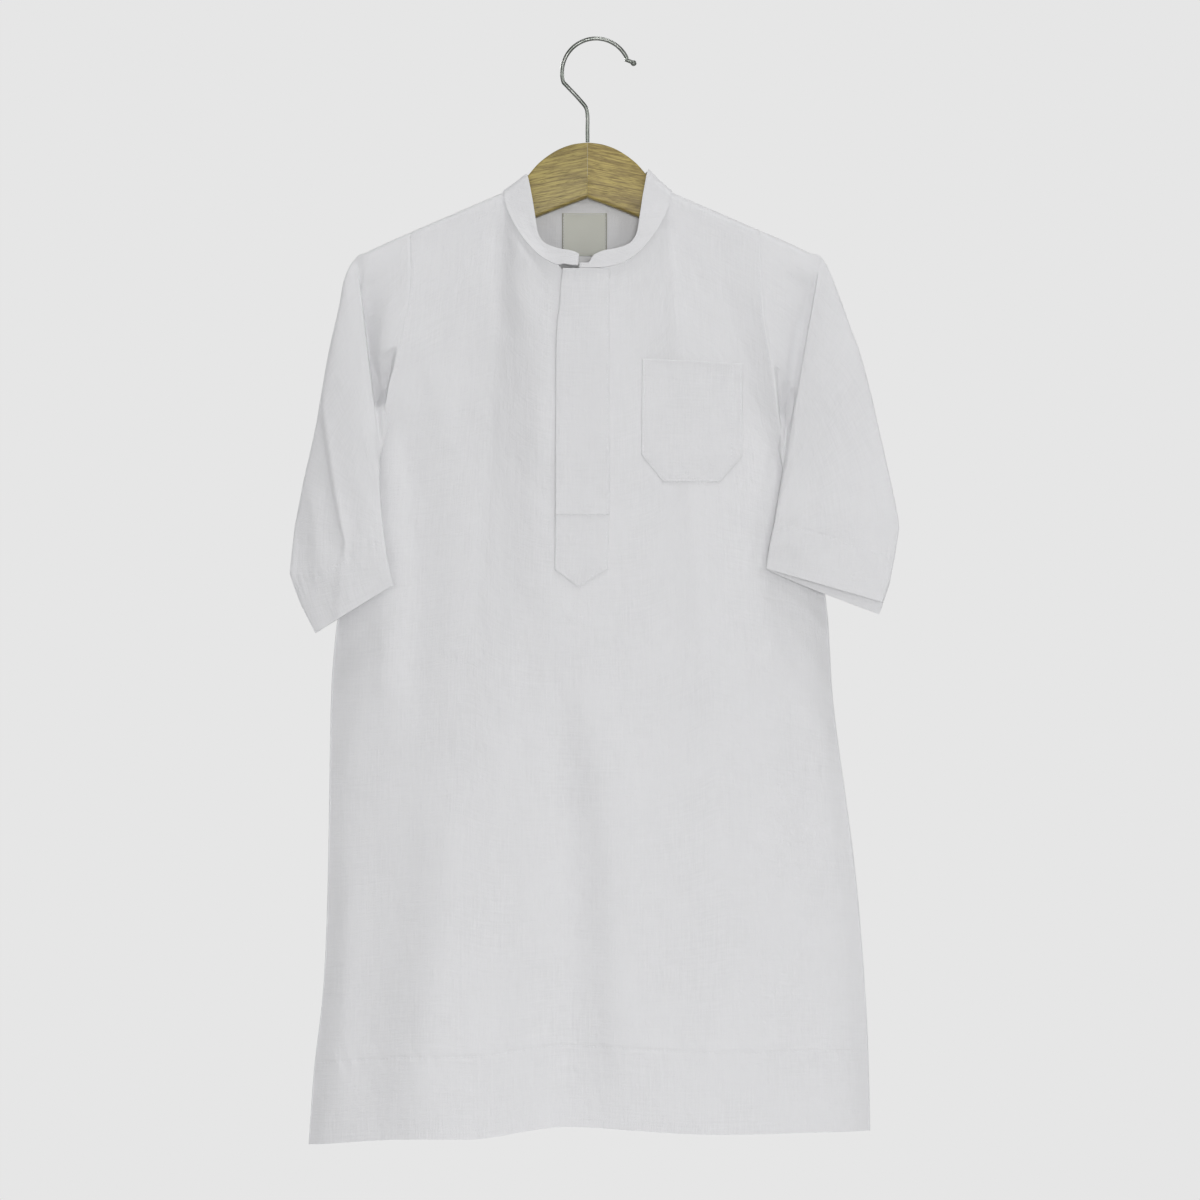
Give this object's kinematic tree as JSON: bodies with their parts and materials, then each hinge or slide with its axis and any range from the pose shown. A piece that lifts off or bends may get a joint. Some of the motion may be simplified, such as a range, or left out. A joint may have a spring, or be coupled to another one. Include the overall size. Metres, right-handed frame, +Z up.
{
  "type": "thobe robe on a hanger",
  "caption": "Child's long white thobe with short stand collar, placket, chest pocket and elbow sleeves, on a flat wooden hanger with a wire hook.",
  "frame": {"origin": "inside of the hook at its highest point, where the rod it hangs from bears", "axes": "+Z up, the front of the garment faces -Y, +X to the right as seen from the front"},
  "size_m": [0.4522, 0.0738, 0.8313],
  "materials": {
    "white_poplin": "plain white cotton poplin",
    "woven_label": "beige woven label, bare",
    "oiled_beech": "oiled flat beech",
    "steel_wire": "plain steel wire"
  },
  "bodies": {
    "root": {"front_panel": "white_poplin", "back_panel": "white_poplin", "sleeve_left": "white_poplin", "sleeve_right": "white_poplin", "collar": "white_poplin", "front_placket": "white_poplin", "chest_pocket": "white_poplin", "neck_label": "woven_label", "size_tab": "white_poplin", "hanger_left": "oiled_beech", "hanger_right": "oiled_beech", "hanger_hook": "steel_wire"}
  },
  "joints": []
}
